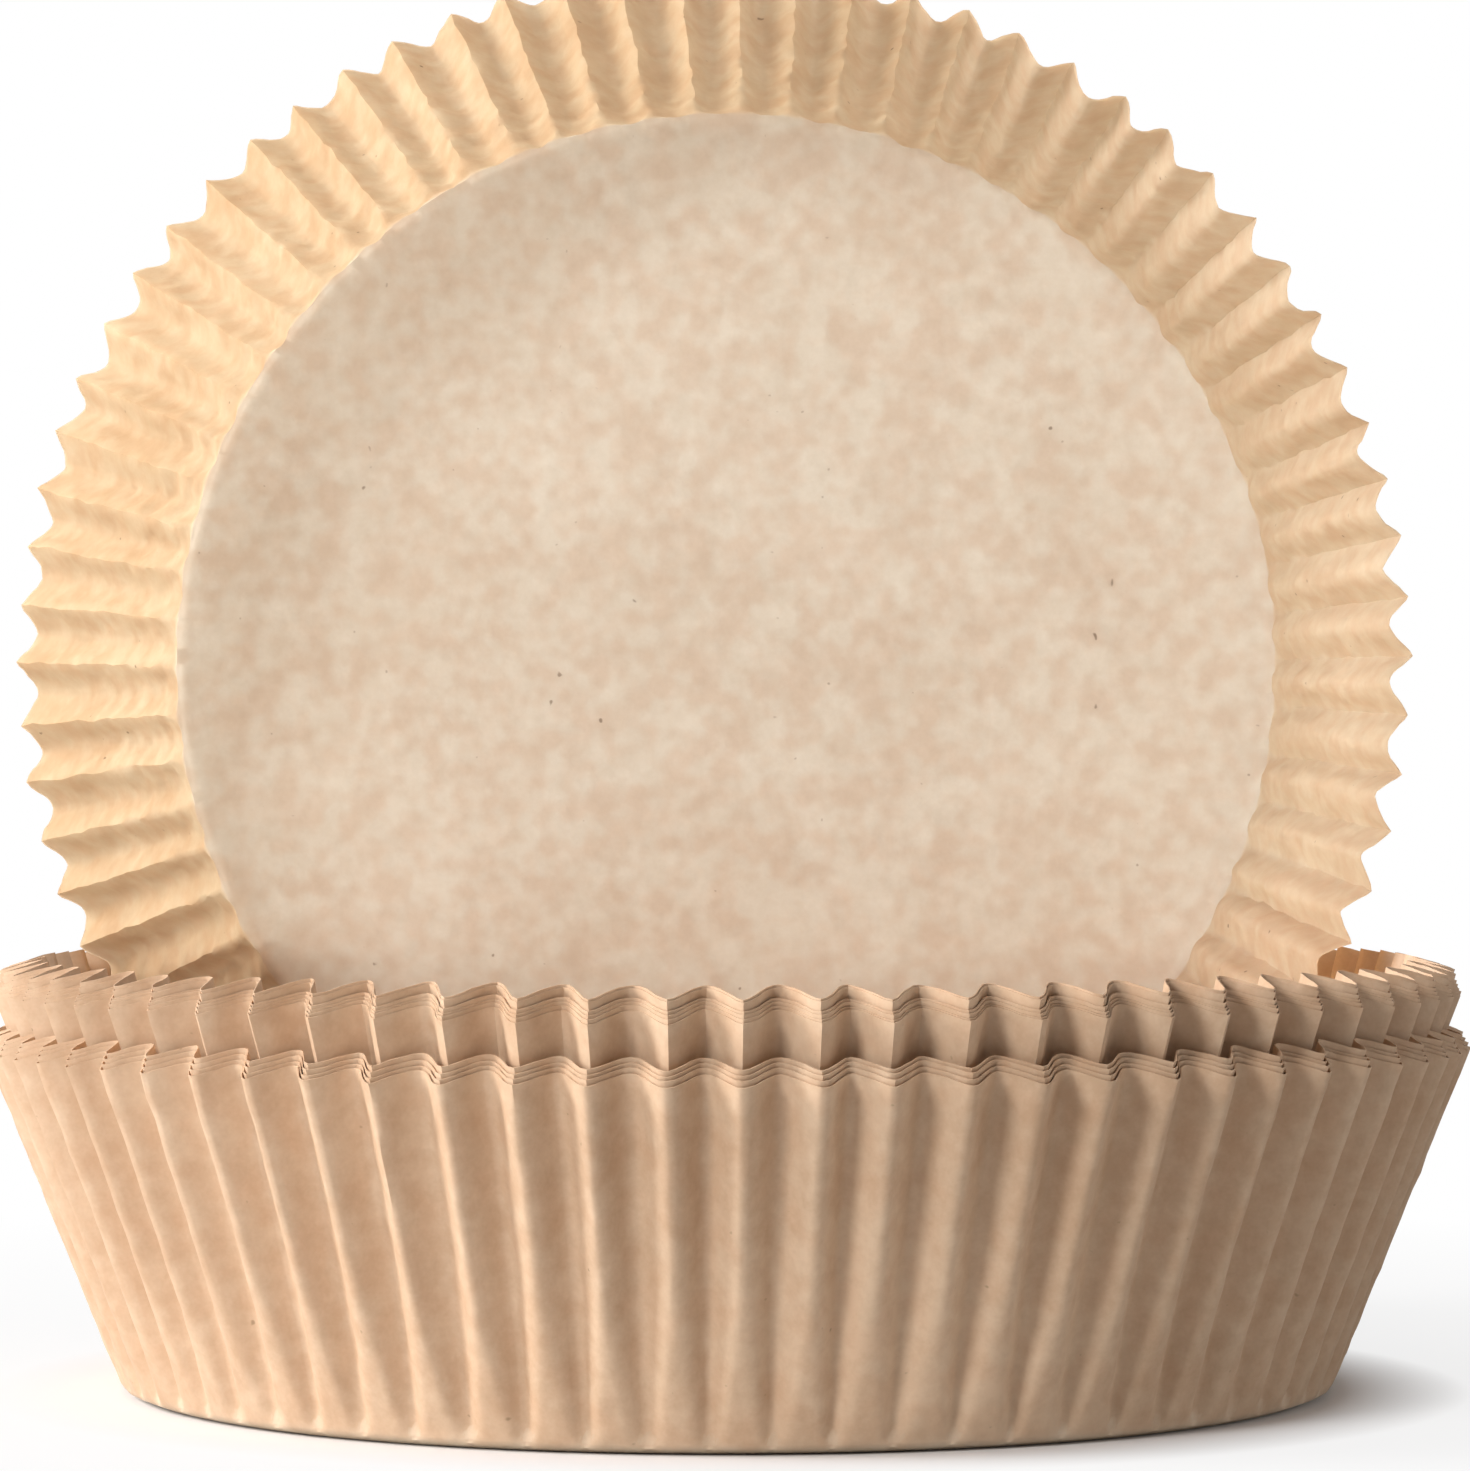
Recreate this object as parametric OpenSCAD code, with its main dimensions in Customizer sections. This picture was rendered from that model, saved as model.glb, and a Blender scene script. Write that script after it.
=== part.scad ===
// A nest of pleated paper liners for an air fryer basket, with one more liner standing upright
// inside it. Each liner is one disc of thin kraft paper, pressed into a flat round base and a
// flared wall of pleats. Every fold line of the wall keeps the length that it had in the flat disc.

/* [Liner] */
// Diameter of the flat base, at the crease where the wall starts
base_d = 163; // [156:1:168]
// Diameter of the open rim of the outermost liner, over its outer folds
rim_d = 200; // [196:1:208]
// Length of the wall along a fold, from the base crease to the rim
wall_slant = 49; // [42:1:56]
// Number of pleats around the wall
pleats = 74; // [50:2:80]
// Depth of a pleat at the rim, from its outer fold to its inner fold
pleat_depth = 3.6; // [2:0.1:4.4]
// Thickness of the paper
paper_t = 0.08; // [0.05:0.01:0.12]
// Angle from the front of the nest to its first outer fold
fold_angle = 3.7; // [0:0.1:5]

/* [Nest] */
// Liners in the lower group, which are pressed home in each other
lower_count = 4; // [2:1:5]
// Liners in the middle group, which has caught higher up in the lower one
middle_count = 4; // [2:1:5]
// Liners in the top group, which has caught again in the middle one
top_count = 2; // [1:1:3]
// How much further in each rim of the lower group is drawn than the rim around it
lower_draw = 0.7; // [0.3:0.1:0.9]
// How much further in each rim of the middle group is drawn than the rim around it
middle_draw = 0.3; // [0.1:0.1:0.5]
// How much further in each rim of the top group is drawn than the rim around it
top_draw = 0.2; // [0.1:0.1:0.5]
// How far the first rim of the middle group lies inside the outermost rim
middle_inset = 0.7; // [0.3:0.1:1.2]
// How far the first rim of the top group lies inside the outermost rim
top_inset = 1.6; // [1.2:0.1:2]
// Free height between the walls of two liners that are pressed home
nest_gap = 0.05; // [0.03:0.01:0.2]
// Clearance where one group, or the upright liner, rests on what carries it
seat_gap = 0.3; // [0.2:0.05:0.4]

/* [Upright liner] */
// How far its rim is drawn in from the outermost rim of the nest
upright_inset = 3.6; // [2:0.1:6]
// Depth of its pleats at the rim
upright_pleat_depth = 2.8; // [2:0.1:4.4]
// How far the bottom of its rim is pressed flat by the floor that it stands on
upright_flat = 9.6; // [6:0.1:11]
// Turn of its open side to the left
upright_turn = 2; // [0:0.5:4]
// Shift of its base to the left of the nest's middle
upright_shift = 0.2; // [0:0.1:2]
// Angle from straight down to its first outer fold
upright_fold_angle = 2; // [0:0.1:5]

/* [Hidden] */
liner_count = lower_count + middle_count + top_count;
paper_colour = "#D2AE86";
front = -90;
base_r = base_d / 2;
fold_step = 180 / pleats;
fold_count = 2 * pleats;

// Each group's first liner, its rim radius, and how much its rims are drawn in
group_first = [0, lower_count, lower_count + middle_count];
group_rim_r = [rim_d / 2, rim_d / 2 - middle_inset, rim_d / 2 - top_inset];
group_draw = [lower_draw, middle_draw, top_draw];
function group(i) = i < group_first[1] ? 0 : i < group_first[2] ? 1 : 2;

// Radius of the outer folds and of the inner folds at the rim of liner i
function outer_r(i) = group_rim_r[group(i)] - group_draw[group(i)] * (i - group_first[group(i)]);
function inner_r(i) = outer_r(i) - pleat_depth;

// Height over the base at which a fold ends whose rim end is at radius r
function fold_h(r) = sqrt(wall_slant ^ 2 - (r - base_r) ^ 2);

// The wall's thickness, measured upwards, is that of paper on the steepest wall of the nest
steepest_r = min([for (i = [0 : liner_count - 1]) outer_r(i)]);
wall_rise = paper_t * wall_slant / (steepest_r - base_r);
nest_step = wall_rise + nest_gap;

// Height of liner i's base. Each liner is pressed home in the one before it, and a group's first
// liner is caught by that one's rim, whose inner folds hold it along its own inner folds.
function caught_at(i) = lift(i - 1) + fold_h(inner_r(i - 1)) + wall_rise
    - (inner_r(i - 1) - seat_gap - base_r) * fold_h(inner_r(i)) / (inner_r(i) - base_r);
function lift(i) = i == 0 ? 0
    : i == group_first[group(i)] ? max(lift(i - 1) + nest_step, caught_at(i))
    : lift(i - 1) + nest_step;

// The upright liner stands on the floor of the innermost one with its rim pressed flat, and leans
// with the edge of its base on the inner folds of that liner's rim
innermost = liner_count - 1;
floor_z = lift(innermost) + paper_t;
upright_r = rim_d / 2 - upright_inset;
press_h = upright_r - upright_flat;
upright_z = floor_z + seat_gap + press_h;
lean_z = lift(innermost) + fold_h(inner_r(innermost)) + wall_rise;
lean_r = inner_r(innermost) - wall_rise - seat_gap;
half_chord = sqrt(base_r ^ 2 - (upright_z - lean_z) ^ 2);
side_reach = half_chord * cos(upright_turn) + upright_shift;
upright_y = sqrt(lean_r ^ 2 - side_reach ^ 2) - half_chord * sin(upright_turn);

// Radius of the upright rim's outer folds at angle a, where straight down is at -90
function pressed_r(a) = min(upright_r, -sin(a) > 0 ? press_h / -sin(a) : upright_r);

function polar(r, a, z) = [r * cos(a), r * sin(a), z];

// One liner on its base. rim holds the radius at which each fold ends, outer and inner in turn.
module pleated_liner(rim) {
    under_base = [for (i = [0 : pleats - 1]) polar(base_r, 2 * i * fold_step, 0)];
    under_rim = [for (j = [0 : fold_count - 1]) polar(rim[j], j * fold_step, fold_h(rim[j]))];
    // The inside crease lies on the raised wall, at the height of the paper on the floor
    top_base = [for (i = [0 : pleats - 1])
        let (fold_r = rim[2 * i + 1])
        polar(base_r - (wall_rise - paper_t) * (fold_r - base_r) / fold_h(fold_r),
            2 * i * fold_step, paper_t)];
    top_rim = [for (p = under_rim) p + [0, 0, wall_rise]];

    // Where each ring starts in the list of points
    ub = 0;
    ur = pleats;
    tb = ur + fold_count;
    tr = tb + pleats;

    under_floor = [[for (i = [0 : pleats - 1]) ub + i]];
    top_floor = [[for (i = [pleats - 1 : -1 : 0]) tb + i]];
    walls = [for (i = [0 : pleats - 1])
        let (next = (i + 1) % pleats)
        each [
            [ub + i, ur + 2 * i, ur + 2 * i + 1],
            [ub + i, ur + 2 * i + 1, ub + next],
            [ub + next, ur + 2 * i + 1, ur + 2 * next],
            [tb + i, tr + 2 * i + 1, tr + 2 * i],
            [tb + i, tb + next, tr + 2 * i + 1],
            [tb + next, tr + 2 * next, tr + 2 * i + 1]
        ]];
    rim_edge = [for (j = [0 : fold_count - 1])
        let (next = (j + 1) % fold_count)
        each [[ur + j, tr + j, tr + next], [ur + j, tr + next, ur + next]]];
    polyhedron(
        points = concat(under_base, under_rim, top_base, top_rim),
        faces = concat(under_floor, top_floor, walls, rim_edge));
}

// Liner i of the nest, counted from the outermost
module stack_liner(i) {
    rim = [for (j = [0 : fold_count - 1]) j % 2 == 0 ? outer_r(i) : inner_r(i)];
    color(paper_colour)
        translate([0, 0, lift(i)])
            rotate(front + fold_angle)
                pleated_liner(rim);
}

// The liner that stands on its rim, with its open side to the front
module upright_liner() {
    first_fold = front + upright_fold_angle;
    rim = [for (j = [0 : fold_count - 1])
        pressed_r(first_fold + j * fold_step) - (j % 2 == 0 ? 0 : upright_pleat_depth)];
    color(paper_colour)
        translate([-upright_shift, upright_y, upright_z])
            rotate([90, 0, -upright_turn])
                rotate(first_fold)
                    pleated_liner(rim);
}

for (i = [0 : liner_count - 1])
    stack_liner(i);
upright_liner();
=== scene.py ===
import math

import bpy
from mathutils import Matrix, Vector


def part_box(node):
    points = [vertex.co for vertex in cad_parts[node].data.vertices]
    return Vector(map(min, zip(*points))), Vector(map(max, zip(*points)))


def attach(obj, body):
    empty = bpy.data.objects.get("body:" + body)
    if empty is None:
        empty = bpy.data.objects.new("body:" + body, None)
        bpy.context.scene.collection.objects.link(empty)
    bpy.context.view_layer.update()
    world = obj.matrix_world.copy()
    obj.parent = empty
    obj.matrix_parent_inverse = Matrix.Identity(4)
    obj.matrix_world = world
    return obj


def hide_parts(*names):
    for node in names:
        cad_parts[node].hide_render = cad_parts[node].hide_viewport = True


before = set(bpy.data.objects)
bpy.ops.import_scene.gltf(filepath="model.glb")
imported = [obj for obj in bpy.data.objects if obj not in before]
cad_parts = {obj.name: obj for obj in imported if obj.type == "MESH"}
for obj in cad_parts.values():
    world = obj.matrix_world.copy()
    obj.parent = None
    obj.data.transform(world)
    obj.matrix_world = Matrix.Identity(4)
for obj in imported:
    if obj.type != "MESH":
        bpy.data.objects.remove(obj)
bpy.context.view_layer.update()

# The camera
# It looks level from in front of the nest, a little above its rim, through a long lens.
mm = 0.001
scene = bpy.context.scene
photo_width_px = 1470
focal_px = 5897
sensor_mm = 36
camera_right = 1 * mm
camera_distance = 800 * mm
camera_height = 87.9 * mm
far_clip = 20
camera_data = bpy.data.cameras.new("camera")
camera_data.sensor_fit = "HORIZONTAL"
camera_data.sensor_width = sensor_mm
camera_data.lens = focal_px * sensor_mm / photo_width_px
camera_data.clip_end = far_clip
camera = bpy.data.objects.new("camera", camera_data)
camera.location = (camera_right, -camera_distance, camera_height)
camera.rotation_euler = (math.radians(90), 0, 0)
scene.collection.objects.link(camera)
scene.camera = camera
scene.view_settings.view_transform = "Standard"
# Thin nested sheets render faster when their long triangles are split in the ray tree
scene.cycles.debug_use_spatial_splits = True

# The nested liners
# Ten discs of unbleached greaseproof kraft paper, each pressed between ribbed dies into a flat base
# and a pleated wall, and pushed into each other in three groups, as they come out of their pack.
# The front pleats of the nest stand a little wider apart than the back ones.
base_radius = 81.5 * mm
wall_slant = 49 * mm
nest_slant = 49.6 * mm
pleats = 74
fold_angle = math.radians(-90 + 1.15)
no_press = 1.0
nest_groups = [
    # Liners, first rim radius, draw, longer wall of each, pleat depth, inner and outer fold power
    (4, 100 * mm, 0.3 * mm, 0.26 * mm, 4.1 * mm, 1.9, 0.9),
    (4, 98.9 * mm, 0.2 * mm, 0.1 * mm, 4.9 * mm, 1.9, 0.86),
    (2, 98.2 * mm, 0.2 * mm, 0.1 * mm, 5.4 * mm, 1.9, 0.86),
]
paper_thickness = 0.13 * mm
sharp_above = math.radians(55)


def add_node(tree, kind, links=None, **settings):
    """Adds a node, sets its settings, and sets or links each input that links names."""
    node = tree.nodes.new(kind)
    for name, value in settings.items():
        setattr(node, name, value)
    for name, value in (links or {}).items():
        if isinstance(value, bpy.types.NodeSocket):
            tree.links.new(value, node.inputs[name])
        else:
            node.inputs[name].default_value = value
    return node


def linear(hex_colour):
    """An sRGB hex colour as the linear values that a shader takes."""
    parts = [int(hex_colour[i : i + 2], 16) / 255 for i in (1, 3, 5)]
    return [c / 12.92 if c <= 0.04045 else ((c + 0.055) / 1.055) ** 2.4 for c in parts] + [1]


def kraft_paper(name, floor_tones, wall_tones, see_through):
    """Kraft paper of about 40 g per square metre, pulp fibres pressed smooth.

    It is matt with a faint sheen, cloudy from uneven pulp, flecked with dark bits of bark, and thin
    enough that light from behind warms it. The pale and the deep tone differ between the flat floor
    and the pressed wall as painted light: the floor's paler, greyer tones are a painted sheen, and
    the wall's deeper, warmer tones are painted light bounced between the folds. see_through is the
    share of light that goes through.
    """
    material = bpy.data.materials.new(name)
    material.use_nodes = True
    tree = material.node_tree
    tree.nodes.clear()
    place = add_node(tree, "ShaderNodeTexCoord").outputs["Object"]

    # Pulp clouds about 30 mm across, and mottles of about 3 mm between them
    cloud_size = 30 * mm
    mottle_size = 3 * mm
    mottle_share = 0.6
    deepest_cloud, palest_cloud = 0.36, 0.64
    clouds = add_node(
        tree, "ShaderNodeTexNoise", {"Vector": place, "Scale": 1 / cloud_size, "Detail": 1.0}
    )
    mottles = add_node(
        tree,
        "ShaderNodeTexNoise",
        {"Vector": place, "Scale": 1 / mottle_size, "Detail": 3.0, "Roughness": 0.75},
    )
    both = add_node(
        tree,
        "ShaderNodeMix",
        {0: mottle_share, 2: clouds.outputs["Fac"], 3: mottles.outputs["Fac"]},
        data_type="FLOAT",
    )
    cloud_share = add_node(
        tree,
        "ShaderNodeMapRange",
        {"Value": both.outputs[0], "From Min": deepest_cloud, "From Max": palest_cloud},
    )
    # Painted light: the floor's paler tones are a painted sheen, and the wall's deeper tones painted
    # light bounced between the folds
    tones = [
        add_node(
            tree,
            "ShaderNodeMix",
            {"Factor": cloud_share.outputs["Result"], 6: linear(deep), 7: linear(pale)},
            data_type="RGBA",
        ).outputs[2]
        for pale, deep in (floor_tones, wall_tones)
    ]
    on_wall = add_node(tree, "ShaderNodeAttribute", attribute_name="wall").outputs["Fac"]
    plain = add_node(
        tree, "ShaderNodeMix", {"Factor": on_wall, 6: tones[0], 7: tones[1]}, data_type="RGBA"
    )

    # Some pulp dries rosier than the rest, in blotches of about 4 mm
    blotch_size = 4 * mm
    rosy_from, rosy_to = 0.38, 0.644
    rosiest = 0.4
    rosy_tint = linear("#F5E8DF")
    blotches = add_node(
        tree,
        "ShaderNodeTexNoise",
        {"Vector": place, "Scale": 1 / blotch_size, "Detail": 1.0, "Roughness": 0.7},
    )
    rosy_share = add_node(
        tree,
        "ShaderNodeMapRange",
        {
            "Value": blotches.outputs["Fac"],
            "From Min": rosy_from,
            "From Max": rosy_to,
            "To Max": rosiest,
        },
    )
    rosy = add_node(
        tree,
        "ShaderNodeMix",
        {"Factor": 1.0, 6: plain.outputs[2], 7: rosy_tint},
        data_type="RGBA",
        blend_type="MULTIPLY",
    )
    pulp = add_node(
        tree,
        "ShaderNodeMix",
        {"Factor": rosy_share.outputs["Result"], 6: plain.outputs[2], 7: rosy.outputs[2]},
        data_type="RGBA",
    )

    # Flecks of bark, under half a millimetre across, at the rare peaks of a 1.2 mm noise
    fleck_spacing = 1.2 * mm
    fleck_edge, fleck_middle = 0.86, 0.92
    fleck_strength = 0.5
    bark_tone = linear("#7A5733")
    peaks = add_node(
        tree, "ShaderNodeTexNoise", {"Vector": place, "Scale": 1 / fleck_spacing, "Detail": 0.0}
    )
    fleck = add_node(
        tree,
        "ShaderNodeMapRange",
        {
            "Value": peaks.outputs["Fac"],
            "From Min": fleck_edge,
            "From Max": fleck_middle,
            "To Max": fleck_strength,
        },
    )
    colour = add_node(
        tree,
        "ShaderNodeMix",
        {"Factor": fleck.outputs["Result"], 6: pulp.outputs[2], 7: bark_tone},
        data_type="RGBA",
    ).outputs[2]

    # The felt side's grain, about 0.6 mm, raises the surface a little
    grain_size = 0.6 * mm
    grain_height = 0.05 * mm
    grain = add_node(
        tree, "ShaderNodeTexNoise", {"Vector": place, "Scale": 1 / grain_size, "Detail": 0.0}
    )
    raised = add_node(
        tree,
        "ShaderNodeBump",
        {"Height": grain.outputs["Fac"], "Strength": 0.25, "Distance": grain_height},
    )
    front = add_node(
        tree,
        "ShaderNodeBsdfPrincipled",
        {
            "Base Color": colour,
            "Roughness": 0.55,
            "Specular IOR Level": 0.45,
            "Normal": raised.outputs["Normal"],
        },
    )
    behind = add_node(
        tree, "ShaderNodeBsdfTranslucent", {"Color": colour, "Normal": raised.outputs["Normal"]}
    )
    sheet = add_node(
        tree,
        "ShaderNodeMixShader",
        {0: see_through, 1: front.outputs["BSDF"], 2: behind.outputs["BSDF"]},
    )
    add_node(tree, "ShaderNodeOutputMaterial", {"Surface": sheet.outputs["Shader"]})
    return material


def pleated_sheet():
    """The node tree of one liner: a grid of columns around and rows from centre to rim.

    The base stays flat, and the wall gathers into pleats that start as points at the base crease
    and deepen towards the rim. Every fold keeps the length that it had in the flat disc.
    """
    tree = bpy.data.node_groups.new("pleated_sheet", "GeometryNodeTree")
    inputs = [
        ("Pleats", "NodeSocketInt"),
        ("Points per pleat", "NodeSocketInt"),
        ("Rows", "NodeSocketInt"),
        ("Base radius", "NodeSocketFloat"),
        ("Rim radius", "NodeSocketFloat"),
        ("Wall slant", "NodeSocketFloat"),
        ("Pleat depth", "NodeSocketFloat"),
        ("Inner fold power", "NodeSocketFloat"),
        ("Outer fold power", "NodeSocketFloat"),
        ("Narrowing", "NodeSocketFloat"),
        ("Growth power", "NodeSocketFloat"),
        ("First fold", "NodeSocketFloat"),
        ("Press height", "NodeSocketFloat"),
        ("Crease round", "NodeSocketFloat"),
        ("Front spread", "NodeSocketFloat"),
        ("Pleat waver", "NodeSocketFloat"),
        ("Edge waver", "NodeSocketFloat"),
        ("Crinkle", "NodeSocketFloat"),
        ("Seed", "NodeSocketFloat"),
        ("Edge seed", "NodeSocketFloat"),
        ("Place", "NodeSocketVector"),
        ("Turn", "NodeSocketVector"),
        ("Paper", "NodeSocketMaterial"),
    ]
    for name, kind in inputs:
        tree.interface.new_socket(name, in_out="INPUT", socket_type=kind)
    tree.interface.new_socket("Geometry", in_out="OUTPUT", socket_type="NodeSocketGeometry")
    given = add_node(tree, "NodeGroupInput").outputs

    # Each step is a name, an operation and its values, which are numbers, inputs or earlier steps
    made = {name: given[name] for name, _ in inputs}

    def work_out(steps):
        for name, operation, *values in steps:
            node = add_node(
                tree,
                "ShaderNodeMath",
                {i: made.get(v, v) for i, v in enumerate(values)},
                operation=operation,
            )
            made[name] = node.outputs[0]

    work_out(
        [
            ("column spans", "MULTIPLY", "Pleats", "Points per pleat"),
            ("columns", "ADD", "column spans", 1),
        ]
    )
    grid = add_node(
        tree,
        "GeometryNodeMeshGrid",
        {"Size X": 1, "Size Y": 1, "Vertices X": made["columns"], "Vertices Y": given["Rows"]},
    )
    at = add_node(
        tree,
        "ShaderNodeSeparateXYZ",
        {0: add_node(tree, "GeometryNodeInputPosition").outputs["Position"]},
    )
    made["grid x"], made["grid y"] = at.outputs["X"], at.outputs["Y"]

    # Around: the turn of each column, and noises on the unit circle for what is uneven
    work_out(
        [
            ("around", "ADD", "grid x", 0.5),
            ("turn", "MULTIPLY", "around", math.tau),
            ("cos turn", "COSINE", "turn"),
            ("sin turn", "SINE", "turn"),
        ]
    )
    circle, edge_circle = [
        add_node(
            tree,
            "ShaderNodeCombineXYZ",
            {"X": made["cos turn"], "Y": made["sin turn"], "Z": given[seed]},
        ).outputs[0]
        for seed in ("Seed", "Edge seed")
    ]
    noises = {
        # Where it is read, its waves in one unit of the circle, and its octaves
        "pleat noise": (circle, 9.0, 2.0),
        "depth noise": (circle, 14.0, 1.0),
        "edge noise": (edge_circle, 1.6, 3.0),
    }
    for name, (vector, scale, detail) in noises.items():
        noise = add_node(
            tree, "ShaderNodeTexNoise", {"Vector": vector, "Scale": scale, "Detail": detail}
        )
        made[name] = noise.outputs["Fac"]

    # Shares of the rows that lie on the floor, and of an even spacing that is left at the crease
    floor_share = 0.12
    crease_density = 0.45
    # The wall's tone starts at this share of the climb, and is full at the second
    tone_from, tone_full = 0.01, 0.035
    # Share of the climb below which there is no pleat, and how much the depth varies
    pleat_from = 0.03
    depth_spread = 0.4
    # A higher power keeps the narrowing of the inner folds closer to the crease
    narrowing_power = 6
    # Keeps the pressed radius finite away from straight down
    least_down = 0.01
    work_out(
        [
            ("pleat shift", "SUBTRACT", "pleat noise", 0.5),
            ("pleat turn", "DIVIDE", math.tau, "Pleats"),
            ("waver turn", "MULTIPLY", "pleat turn", "Pleat waver"),
            ("shift turn", "MULTIPLY", "pleat shift", "waver turn"),
            ("even angle", "ADD", "turn", "First fold"),
            ("spread turn", "MULTIPLY", "sin turn", "Front spread"),
            ("spread angle", "ADD", "even angle", "spread turn"),
            ("angle", "ADD", "spread angle", "shift turn"),
            ("cos", "COSINE", "angle"),
            ("sin", "SINE", "angle"),
            # Along: rows from the centre to the crease and on to the rim, closest at the crease
            ("along", "ADD", "grid y", 0.5),
            ("past crease", "SUBTRACT", "along", floor_share),
            ("on wall", "GREATER_THAN", "past crease", 0),
            ("span", "MULTIPLY_ADD", "on wall", 1 - 2 * floor_share, floor_share),
            ("share", "DIVIDE", "past crease", "span"),
            ("edge shift", "SUBTRACT", "edge noise", 0.5),
            ("longer", "MULTIPLY", "edge shift", "Edge waver"),
            ("slant here", "ADD", "Wall slant", "longer"),
            ("slant past base", "SUBTRACT", "slant here", "Base radius"),
            ("reach", "MULTIPLY_ADD", "on wall", "slant past base", "Base radius"),
            ("share squared", "MULTIPLY", "share", "share"),
            ("density", "MULTIPLY_ADD", "share squared", 1 - crease_density, crease_density),
            ("dense share", "MULTIPLY", "share", "density"),
            ("path", "MULTIPLY", "dense share", "reach"),
            # Up the wall: a path that is nought on the base and bends up at the rounded crease
            ("path squared", "MULTIPLY", "path", "path"),
            ("round squared", "MULTIPLY", "Crease round", "Crease round"),
            ("bend squared", "ADD", "path squared", "round squared"),
            ("bend", "SQRT", "bend squared"),
            ("path twice", "ADD", "path", "bend"),
            ("climb", "MULTIPLY", "path twice", 0.5),
            ("climb share", "DIVIDE", "climb", "Wall slant"),
            ("past tone", "SUBTRACT", "climb share", tone_from),
            ("wall begun", "DIVIDE", "past tone", tone_full - tone_from),
            ("wall begun up", "MAXIMUM", "wall begun", 0),
            ("wall share", "MINIMUM", "wall begun up", 1),
            # The rim's radius, pressed flat where straight down would pass the press height
            ("down", "MULTIPLY", "sin", -1),
            ("down at least", "MAXIMUM", "down", least_down),
            ("pressed radius", "DIVIDE", "Press height", "down at least"),
            ("radius here", "MINIMUM", "Rim radius", "pressed radius"),
            ("flare", "SUBTRACT", "radius here", "Base radius"),
            # The pleats: none at the crease and deepest at the rim
            ("pleat climb", "MULTIPLY_ADD", "climb share", 1 + pleat_from, -pleat_from),
            ("pleat climb up", "MAXIMUM", "pleat climb", 0),
            ("pleat growth", "POWER", "pleat climb up", "Growth power"),
            ("depth shift", "MULTIPLY_ADD", "depth noise", depth_spread, 1 - depth_spread / 2),
            ("rim depth", "MULTIPLY", "Pleat depth", "depth shift"),
            ("depth", "MULTIPLY", "rim depth", "pleat growth"),
            ("half turns", "MULTIPLY", "around", math.pi),
            ("pleat half turns", "MULTIPLY", "half turns", "Pleats"),
            ("wave", "COSINE", "pleat half turns"),
            ("outward", "ABSOLUTE", "wave"),
            # An inner fold is sharp at a power of 1 and round at 2, and an outer one is sharp at
            # 0.5 and round at 1. Narrowing draws the inner folds together towards the crease.
            ("lobe", "POWER", "outward", "Inner fold power"),
            ("inward", "SUBTRACT", 1, "lobe"),
            ("inward up", "MAXIMUM", "inward", 0),
            ("below rim", "SUBTRACT", 1, "climb share"),
            ("near crease", "POWER", "below rim", narrowing_power),
            ("narrowing", "MULTIPLY_ADD", "near crease", "Narrowing", 1),
            ("fold power", "MULTIPLY", "Outer fold power", "narrowing"),
            ("fold", "POWER", "inward up", "fold power"),
            ("fold in", "MULTIPLY", "depth", "fold"),
            # The place in the section: each fold's line keeps its own length
            ("cone out", "MULTIPLY", "flare", "climb share"),
            ("wall out", "SUBTRACT", "cone out", "fold in"),
            ("wall out squared", "MULTIPLY", "wall out", "wall out"),
            ("climb squared", "MULTIPLY", "climb", "climb"),
            ("height squared", "SUBTRACT", "climb squared", "wall out squared"),
            ("height squared up", "MAXIMUM", "height squared", 0),
            ("height", "SQRT", "height squared up"),
            ("on base", "SUBTRACT", "path", "climb"),
            ("crease out", "ADD", "Base radius", "on base"),
            ("radius", "ADD", "crease out", "wall out"),
            ("x", "MULTIPLY", "radius", "cos"),
            ("y", "MULTIPLY", "radius", "sin"),
        ]
    )
    section = add_node(
        tree, "ShaderNodeCombineXYZ", {"X": made["x"], "Y": made["y"], "Z": made["height"]}
    ).outputs[0]
    marked = add_node(
        tree,
        "GeometryNodeStoreNamedAttribute",
        {"Geometry": grid.outputs["Mesh"], "Name": "wall", "Value": made["wall share"]},
        data_type="FLOAT",
        domain="POINT",
    )
    shaped = add_node(
        tree,
        "GeometryNodeSetPosition",
        {"Geometry": marked.outputs["Geometry"], "Position": section},
    )
    same_point = 0.01 * mm
    closed = add_node(
        tree,
        "GeometryNodeMergeByDistance",
        {"Geometry": shaped.outputs["Geometry"], "Distance": same_point},
    )
    turn = add_node(tree, "FunctionNodeEulerToRotation", {0: given["Turn"]}).outputs[0]
    placed = add_node(
        tree,
        "GeometryNodeTransform",
        {"Geometry": closed.outputs["Geometry"], "Translation": given["Place"], "Rotation": turn},
    )

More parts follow.
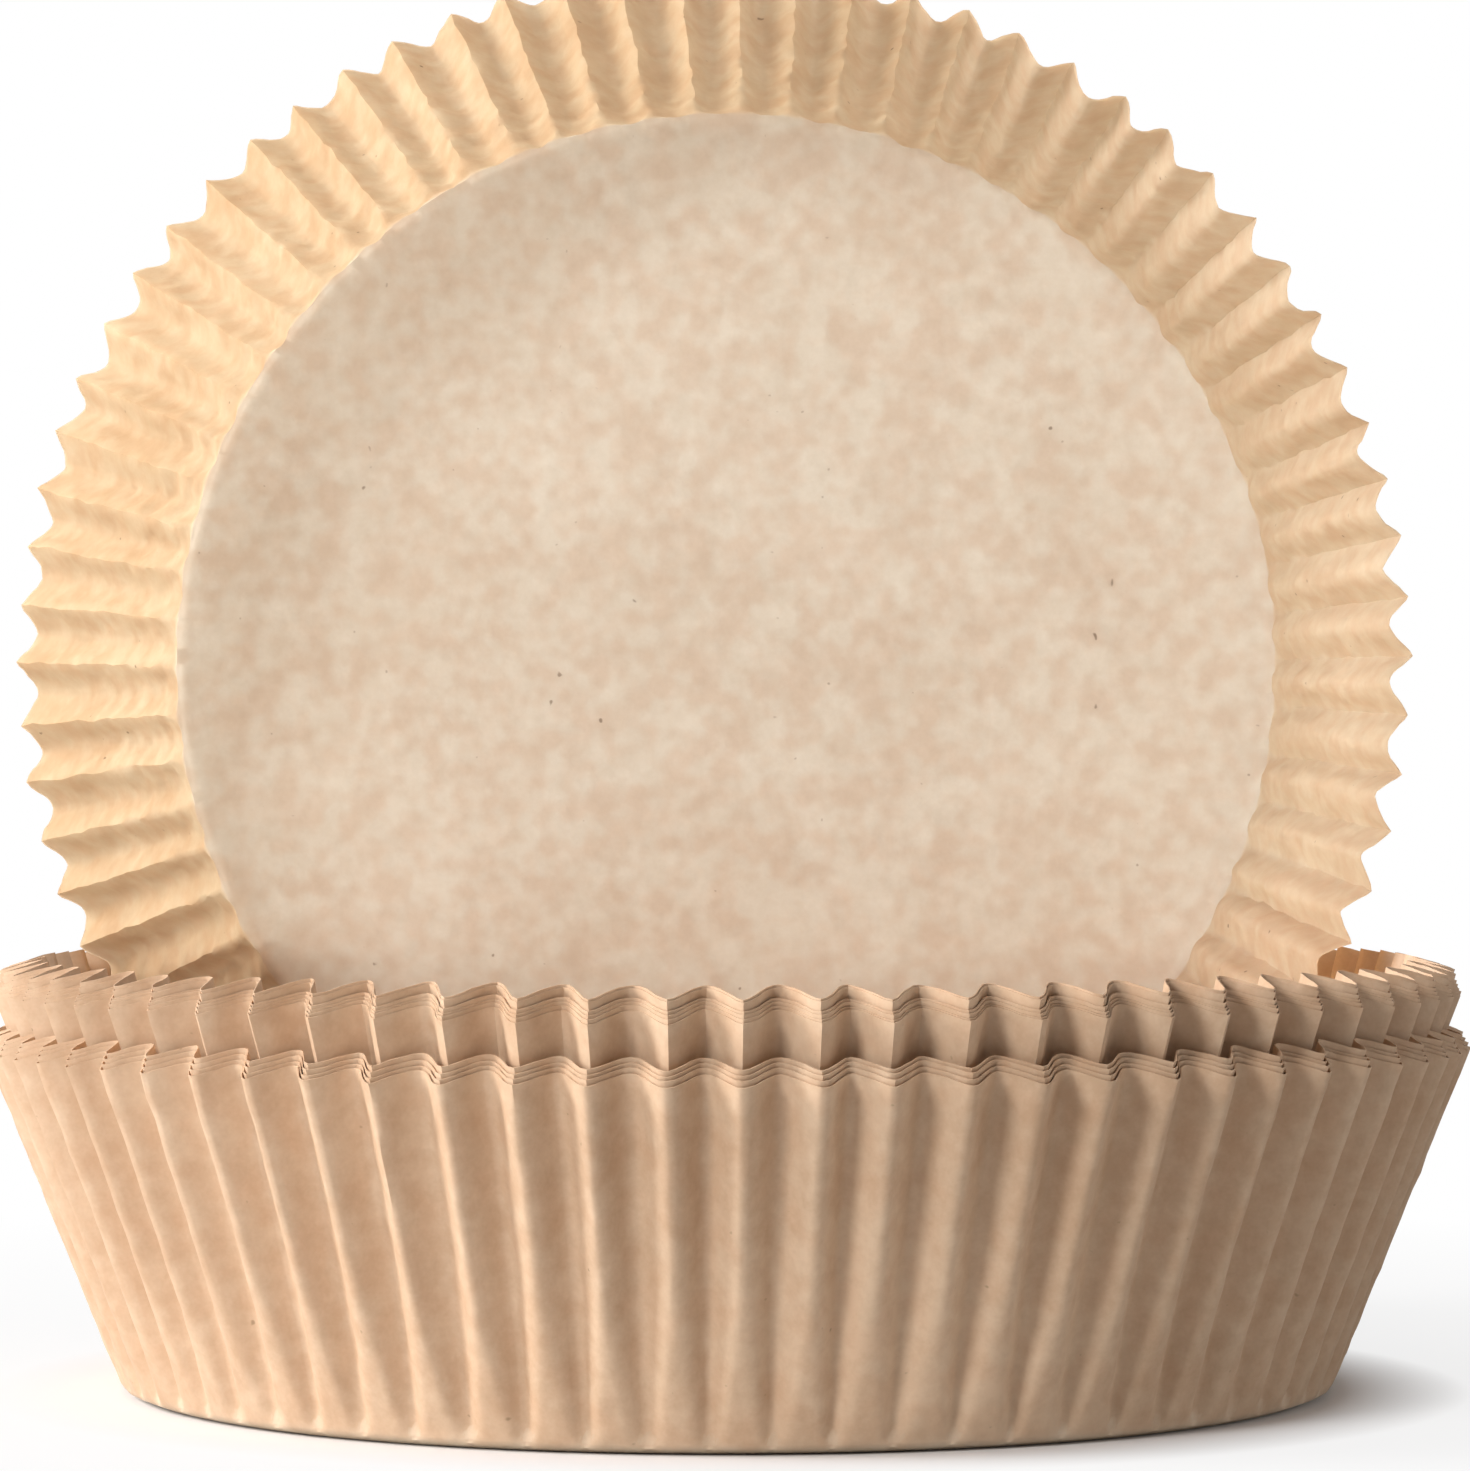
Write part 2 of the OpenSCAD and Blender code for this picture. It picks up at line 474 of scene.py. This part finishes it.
    # Crinkles: a field in space, so that nested sheets bend together and stay apart
    crinkle_size = 4 * mm
    here = add_node(tree, "GeometryNodeInputPosition").outputs["Position"]
    seeded = add_node(tree, "ShaderNodeCombineXYZ", {"Z": given["Seed"]}).outputs[0]
    field_at = add_node(tree, "ShaderNodeVectorMath", {0: here, 1: seeded}, operation="ADD")
    field = add_node(
        tree,
        "ShaderNodeTexNoise",
        {"Vector": field_at.outputs[0], "Scale": 1 / crinkle_size, "Detail": 2.0},
    )
    about_nought = add_node(
        tree,
        "ShaderNodeVectorMath",
        {0: field.outputs["Color"], 1: (0.5, 0.5, 0.5)},
        operation="SUBTRACT",
    )
    wall_share = add_node(
        tree, "GeometryNodeInputNamedAttribute", {"Name": "wall"}, data_type="FLOAT"
    ).outputs["Attribute"]
    crinkle_here = add_node(
        tree, "ShaderNodeMath", {0: given["Crinkle"], 1: wall_share}, operation="MULTIPLY"
    )
    push = add_node(
        tree,
        "ShaderNodeVectorMath",
        {0: about_nought.outputs[0], "Scale": crinkle_here.outputs[0]},
        operation="SCALE",
    )
    crinkled = add_node(
        tree,
        "GeometryNodeSetPosition",
        {"Geometry": placed.outputs["Geometry"], "Offset": push.outputs[0]},
    )
    smooth = add_node(
        tree, "GeometryNodeSetShadeSmooth", {"Geometry": crinkled.outputs["Geometry"]}
    )
    real = add_node(
        tree, "GeometryNodeRealizeInstances", {"Geometry": smooth.outputs["Geometry"]}
    )
    painted = add_node(
        tree,
        "GeometryNodeSetMaterial",
        {"Geometry": real.outputs["Geometry"], "Material": given["Paper"]},
    )
    add_node(tree, "NodeGroupOutput", {"Geometry": painted.outputs["Geometry"]})
    return tree


sheet_tree = pleated_sheet()


def make_liner(name, node_name, sizes):
    """A liner from the sheet's tree, given its paper's thickness and made a plain mesh."""
    liner = bpy.data.objects.new(name, bpy.data.meshes.new(name))
    scene.collection.objects.link(liner)
    sheet = liner.modifiers.new("sheet", "NODES")
    sheet.node_group = sheet_tree
    for item in sheet_tree.interface.items_tree:
        if item.in_out == "INPUT" and item.name in sizes:
            sheet[item.identifier] = sizes[item.name]
    thick = liner.modifiers.new("thick", "SOLIDIFY")
    thick.thickness = paper_thickness
    thick.offset = -1
    bpy.context.view_layer.update()
    evaluated = liner.evaluated_get(bpy.context.evaluated_depsgraph_get())
    liner.data = bpy.data.meshes.new_from_object(evaluated)
    liner.data.set_sharp_from_angle(angle=sharp_above)
    liner.modifiers.clear()
    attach(liner, "root")
    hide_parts(node_name)
    return liner


# A shaded copy of the standing liner's paper: the nest's tones are painted darker, as painted shade
# within the stack
nested_kraft_painted_shade = kraft_paper(
    "nested_kraft_painted_shade", ("#E6D6C0", "#DAC5AA"), ("#E2C5A7", "#D2B191"), see_through=0.12
)
# The outermost and the innermost liner show their whole walls, and the others only their lips
whole_wall_shows = (1, 10)
number = 0
for count, first_radius, draw, longer, depth, inner_power, outer_power in nest_groups:
    for place_in_group in range(count):
        number += 1
        node_name = f"stack_liner_{number:02d}"
        fine = number in whole_wall_shows
        low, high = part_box(node_name)
        make_liner(
            f"nest_liner_{number:02d}",
            node_name,
            {
                "Pleats": pleats,
                "Points per pleat": 12 if fine else 10,
                "Rows": 36 if fine else 14,
                "Base radius": base_radius,
                "Rim radius": first_radius - draw * place_in_group,
                "Wall slant": nest_slant + longer * place_in_group,
                "Pleat depth": depth,
                "Inner fold power": inner_power,
                "Outer fold power": outer_power,
                "Narrowing": 4.5,
                "Growth power": 0.42,
                "First fold": fold_angle,
                "Press height": no_press,
                "Crease round": 1.2 * mm,
                "Front spread": 0.1,
                "Pleat waver": 0.22,
                "Edge waver": 1.0 * mm,
                "Crinkle": 0.6 * mm,
                "Seed": 3.0,
                "Edge seed": 20.0 + number,
                "Place": Vector((0, 0, low[2])),
                "Turn": Vector((0, 0, 0)),
                "Paper": nested_kraft_painted_shade,
            },
        )

# The upright liner
# One more liner of the same paper, stood on its rim on the nest's floor with its open side to the
# front. It is less flared, the floor presses its bottom flat, and light comes through its thin wall.
upright_base_radius = 79.9 * mm
upright_radius = 96.2 * mm
upright_press = 88.4 * mm
upright_turn = math.radians(2)
upright_left = 0.6 * mm
low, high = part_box("upright_liner")
base_y = high[1] - base_radius * math.sin(upright_turn)
# A lit copy of the nest's paper: the standing liner's tones are painted paler, as painted light
# through its single sheet
single_kraft_painted_light = kraft_paper(
    "single_kraft_painted_light", ("#FAF3E8", "#F2E9DC"), ("#F0E3CF", "#E8D8C1"), see_through=0.72
)
make_liner(
    "standing_liner",
    "upright_liner",
    {
        "Pleats": pleats,
        "Points per pleat": 12,
        "Rows": 36,
        "Base radius": upright_base_radius,
        "Rim radius": upright_radius,
        "Wall slant": wall_slant,
        "Pleat depth": 3.0 * mm,
        "Inner fold power": 1.8,
        "Outer fold power": 0.64,
        "Narrowing": 0.0,
        "Growth power": 0.32,
        "First fold": math.radians(-90 + 2.8),
        "Press height": upright_press,
        "Crease round": 0.5 * mm,
        "Front spread": 0.0,
        "Pleat waver": 0.35,
        "Edge waver": 0.6 * mm,
        "Crinkle": 1.5 * mm,
        "Seed": 7.0,
        "Edge seed": 41.0,
        "Place": Vector((-upright_left, base_y, low[2] + upright_press)),
        "Turn": Vector((math.radians(90), 0, -upright_turn)),
        "Paper": single_kraft_painted_light,
    },
)

# The floor
# A pale matt table, a little darker to what it lights than to the camera. It keeps the shadow at
# the nest's foot, and runs out to white further off.
half_floor = 6.0
floor_mesh = bpy.data.meshes.new("floor")
floor_mesh.from_pydata(
    [
        (-half_floor, -half_floor, 0),
        (half_floor, -half_floor, 0),
        (half_floor, half_floor, 0),
        (-half_floor, half_floor, 0),
    ],
    [],
    [(0, 1, 2, 3)],
)
floor = bpy.data.objects.new("floor", floor_mesh)
scene.collection.objects.link(floor)
floor_paint = bpy.data.materials.new("pale_table")
floor_paint.use_nodes = True
tree = floor_paint.node_tree
tree.nodes.clear()
rays = add_node(tree, "ShaderNodeLightPath").outputs
table_colour = add_node(
    tree,
    "ShaderNodeMix",
    {"Factor": rays["Is Camera Ray"], 6: linear("#CCCAC8"), 7: linear("#E6E4E4")},
    data_type="RGBA",
)
table = add_node(
    tree,
    "ShaderNodeBsdfPrincipled",
    {"Base Color": table_colour.outputs[2], "Roughness": 0.7, "Specular IOR Level": 0.2},
)
plain_white = (1, 1, 1, 1)
white = add_node(tree, "ShaderNodeEmission", {"Color": plain_white, "Strength": 1.0})
floor_place = add_node(tree, "ShaderNodeTexCoord").outputs["Object"]
from_nest = add_node(tree, "ShaderNodeVectorMath", {0: floor_place}, operation="LENGTH")
fades = [
    add_node(
        tree,
        "ShaderNodeMapRange",
        {"Value": from_nest.outputs["Value"], "From Min": start, "From Max": end, "To Max": share},
    ).outputs["Result"]
    for start, end, share in (
        # Distances from the nest's middle, and the share of white that is reached between them
        (83 * mm, 100 * mm, 0.82),
        (100 * mm, 300 * mm, 0.18),
    )
]
whitened = add_node(tree, "ShaderNodeMath", {0: fades[0], 1: fades[1]}, operation="ADD")
seen = add_node(
    tree,
    "ShaderNodeMath",
    {0: rays["Is Camera Ray"], 1: whitened.outputs[0]},
    operation="MULTIPLY",
)
floor_surface = add_node(
    tree,
    "ShaderNodeMixShader",
    {0: seen.outputs[0], 1: table.outputs["BSDF"], 2: white.outputs["Emission"]},
)
add_node(tree, "ShaderNodeOutputMaterial", {"Surface": floor_surface.outputs["Shader"]})
floor_mesh.materials.append(floor_paint)

# The light
# A tall soft lamp from the left gives the shape, and one from the front left fills the open side.
# Weak ones from the front, the back left and the right keep the shadows soft, before a white wall.
ambient = 0.09
world = bpy.data.worlds.new("studio")
scene.world = world
world.use_nodes = True
tree = world.node_tree
tree.nodes.clear()
rays = add_node(tree, "ShaderNodeLightPath").outputs
light = add_node(tree, "ShaderNodeBackground", {"Color": plain_white, "Strength": ambient})
backdrop = add_node(tree, "ShaderNodeBackground", {"Color": plain_white, "Strength": 1.0})
direct = add_node(
    tree,
    "ShaderNodeMath",
    {0: rays["Is Camera Ray"], 1: rays["Is Glossy Ray"]},
    operation="MAXIMUM",
)
shows = add_node(
    tree,
    "ShaderNodeMath",
    {0: direct.outputs[0], 1: rays["Is Transmission Ray"]},
    operation="MAXIMUM",
)
world_light = add_node(
    tree,
    "ShaderNodeMixShader",
    {0: shows.outputs[0], 1: light.outputs[0], 2: backdrop.outputs[0]},
)
add_node(tree, "ShaderNodeOutputWorld", {"Surface": world_light.outputs[0]})

lamps = [
    # Name, watts, width and height in metres, where it stands
    ("key", 25.0, 0.35, 1.0, (-1.35, -0.28, 0.68)),
    ("front left", 13.5, 0.4, 0.4, (-0.85, -1.08, 0.68)),
    ("front", 1.6, 1.4, 1.4, (-0.10, -1.25, 1.03)),
    ("back left", 5.0, 0.5, 0.5, (-1.15, 0.85, 0.28)),
    ("right", 4.8, 0.9, 0.9, (1.40, -0.28, 0.35)),
]
aim = Vector((0, 0, 0.08))
for name, watts, width, height, where in lamps:
    lamp_data = bpy.data.lights.new(name, "AREA")
    lamp_data.energy = watts
    lamp_data.shape = "RECTANGLE"
    lamp_data.size = width
    lamp_data.size_y = height
    lamp = bpy.data.objects.new(name, lamp_data)
    lamp.location = where
    lamp.rotation_euler = (aim - Vector(where)).to_track_quat("-Z", "Y").to_euler()
    scene.collection.objects.link(lamp)
